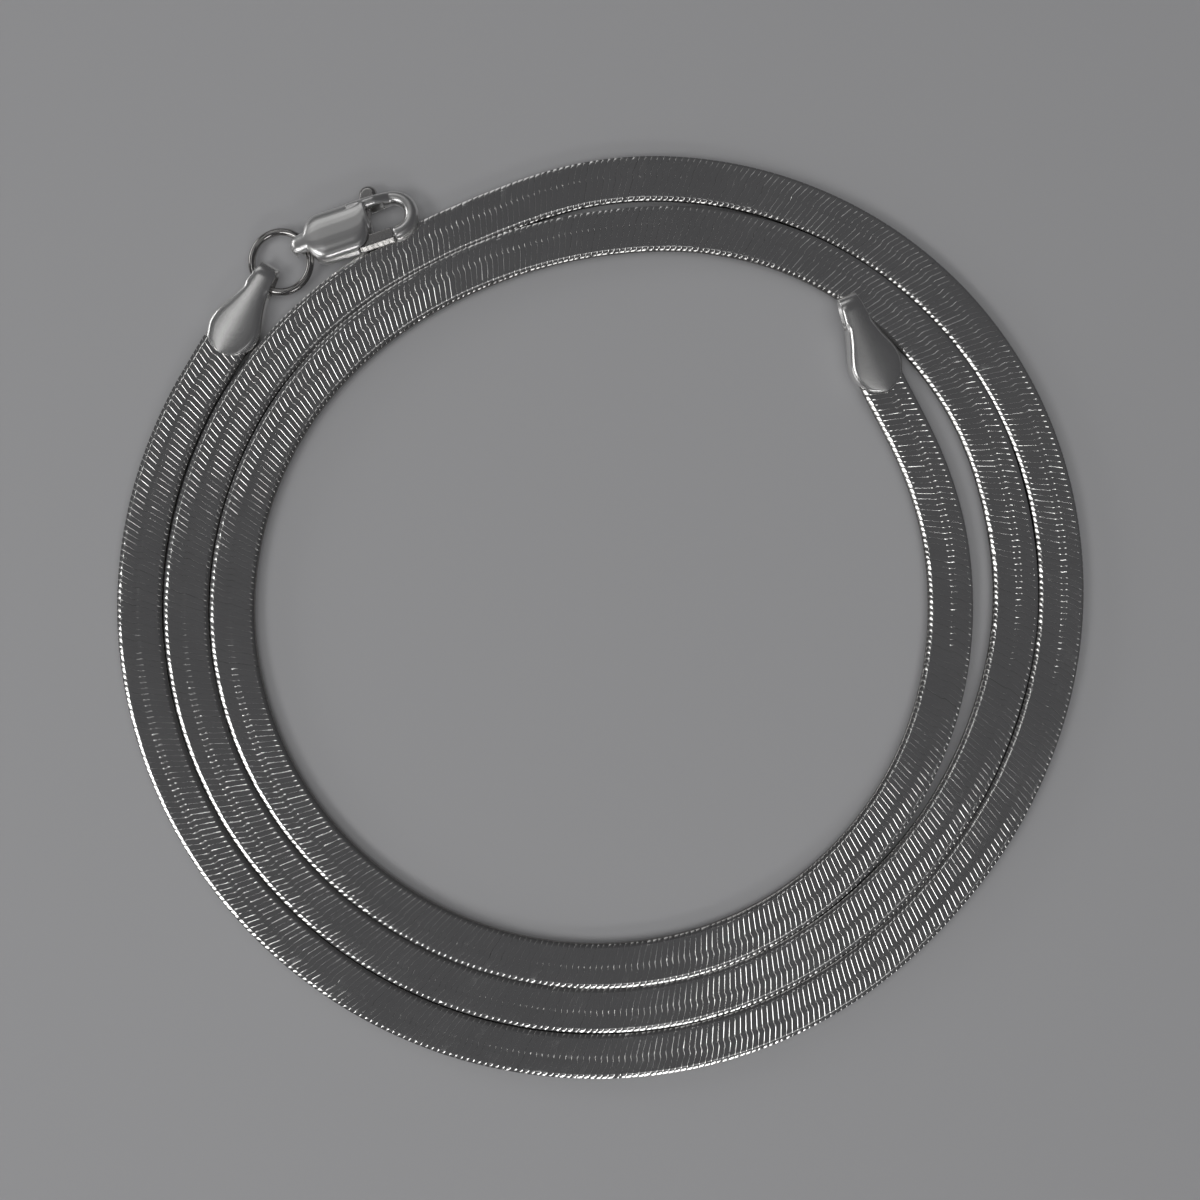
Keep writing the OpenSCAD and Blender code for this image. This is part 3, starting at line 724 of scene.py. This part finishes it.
def clasp_lever():
    """The lever: barrel, thumb arm with its domed knob, the gate that closes the window, and the part
    of it inside the shell, with a hole for the pin."""
    half = LEVER_T / 2
    gate_y = HOOK_Y - ARM_Y
    arm = KNOB_AT - PIN_AT
    arm_turn = turned(0, 0, math.degrees(math.atan2(arm[1], arm[0])))
    bar, bar_faces = box_part([0, math.hypot(*arm)], [-THUMB_W / 2, THUMB_W / 2], [-half, half])
    gate_end = PIN_AT[0] + math.sqrt(GATE_R**2 - (gate_y - PIN_AT[1]) ** 2)
    draft = joined("lever draft", [
        disc_part(PIN_AT, BARREL_R, half, BARREL_EDGE),
        disc_part(KNOB_AT, KNOB_R, half, KNOB_DOME),
        (bar @ arm_turn.T + [*PIN_AT, 0], bar_faces),
        box_part([PIN_AT[0], gate_end], [gate_y - GATE_W / 2, gate_y + GATE_W / 2], [-half, half]),
        box_part([PIN_AT[0], SHELL_L], [PIN_AT[1] - BARREL_R, PIN_AT[1] + BARREL_R], [-half, half]),
    ])
    cutter = joined("pin hole", [disc_part(PIN_AT, PIN_HOLE_R, 1.0, CUT_EDGE, 24)])
    modified(
        draft,
        ("REMESH", {"mode": "VOXEL", "voxel_size": LEVER_GRAIN}),
        ("SMOOTH", {"factor": 0.5, "iterations": 5}),
        ("BOOLEAN", {"operation": "DIFFERENCE", "solver": "EXACT", "object": cutter}),
    )
    piece = finished("thumb_lever", draft, SHADED_LEVER_SILVER, *clasp_place())
    bpy.data.objects.remove(cutter)
    return piece


# Pieces, in their places and bodies
for piece, body, node, slot in [
    (woven_links(), "necklace", "chain", "silver_links"),
    (band_core(), "necklace", None, None),
    (end_cap("clasp_end_cap", CLASP_CAP_AT, CLASP_CAP_TURN, CLASP_CAP_PITCH), "necklace", "end_cap_clasp",
     "silver_sheet"),
    (end_cap("far_end_cap", FAR_CAP_AT, FAR_CAP_TURN, FAR_CAP_PITCH), "necklace", "end_cap_far",
     "silver_sheet"),
    (jump_ring(), "necklace", "jump_ring", "silver_wire"),
    (clasp_shell(), "necklace", "clasp_body", "silver_cast"),
    (clasp_lever(), "lever", "clasp_lever", "silver_lever"),
]:
    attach(piece, body)
    if node:
        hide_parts(node)
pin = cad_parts["clasp_pin"]
pin.data.materials.clear()
pin.data.materials.append(WIRE_SILVER)


# Surface, lights and camera
# Lights round the coil: bearing and height in degrees, distance, width and height in metres, radiance
LIGHTS = {
    "main light": (205, 48, 0.42, 0.2, 0.13, 3.2),
    "second light": (280, 36, 0.42, 0.13, 0.08, 3.5),
    "left panel": (147, 66, 0.45, 0.08, 0.07, 1.25),
    "back panel": (117, 34, 0.45, 0.22, 0.13, 0.62),
    "right panel": (300, 67, 0.45, 0.15, 0.1, 0.45),
    "low left panel": (155, 12, 0.7, 0.35, 0.15, 3),
    "low near panel": (215, 11, 0.7, 0.4, 0.18, 1.2),
}
OVERHEAD = (0, 85, 0.8, 0.8, 0.8, 0.78)
# The camera's place in metres, straight above the coil, and its lens in mm
CAMERA_AT, LENS = (-0.00003, 0.001228, 0.1185), 50.64
# Half the floor's side in metres, and the colours of the floor and of the studio round it
FLOOR_HALF, FLOOR_COLOUR, STUDIO_COLOUR = 1.0, (0.55, 0.55, 0.56), (0.065, 0.065, 0.068)


def flat_material(name, colour, roughness):
    """A plain surface."""
    material = bpy.data.materials.new(name)
    material.use_nodes = True
    shader = material.node_tree.nodes["Principled BSDF"]
    shader.inputs["Base Color"].default_value = (*colour, 1)
    shader.inputs["Roughness"].default_value = roughness
    return material


def soft_light(name, azimuth, elevation, distance, width, height, radiance):
    """An area light that looks at the middle of the coil."""
    a, e = math.radians(azimuth), math.radians(elevation)
    light = bpy.data.lights.new(name, "AREA")
    light.shape = "RECTANGLE"
    light.size = width
    light.size_y = height
    light.energy = radiance * math.pi * width * height
    holder = bpy.data.objects.new(name, light)
    holder.location = (distance * math.cos(e) * math.cos(a), distance * math.cos(e) * math.sin(a),
                       distance * math.sin(e))
    holder.rotation_euler = (math.radians(90) - e, 0, a + math.radians(90))
    bpy.context.scene.collection.objects.link(holder)
    return holder


floor_corners = FLOOR_HALF * np.array([[-1, -1, 0], [1, -1, 0], [1, 1, 0], [-1, 1, 0]])
pale_surface = flat_material("pale surface", FLOOR_COLOUR, 0.8)
floor = new_object("floor", floor_corners, [[0, 1, 2, 3]], pale_surface)
for light_name, light_place in LIGHTS.items():
    soft_light(light_name, *light_place)
# Soft light from overhead for the surface: it doesn't show in the metal
soft_light("overhead light", *OVERHEAD).visible_glossy = False

world = bpy.data.worlds.new("studio")
world.use_nodes = True
world.node_tree.nodes["Background"].inputs["Color"].default_value = (*STUDIO_COLOUR, 1)
bpy.context.scene.world = world
bpy.context.scene.view_settings.view_transform = "Standard"

lens = bpy.data.cameras.new("camera")
lens.sensor_width = 36
lens.lens = LENS
lens.clip_start = 0.001
camera = bpy.data.objects.new("camera", lens)
camera.location = CAMERA_AT
bpy.context.scene.collection.objects.link(camera)
bpy.context.scene.camera = camera
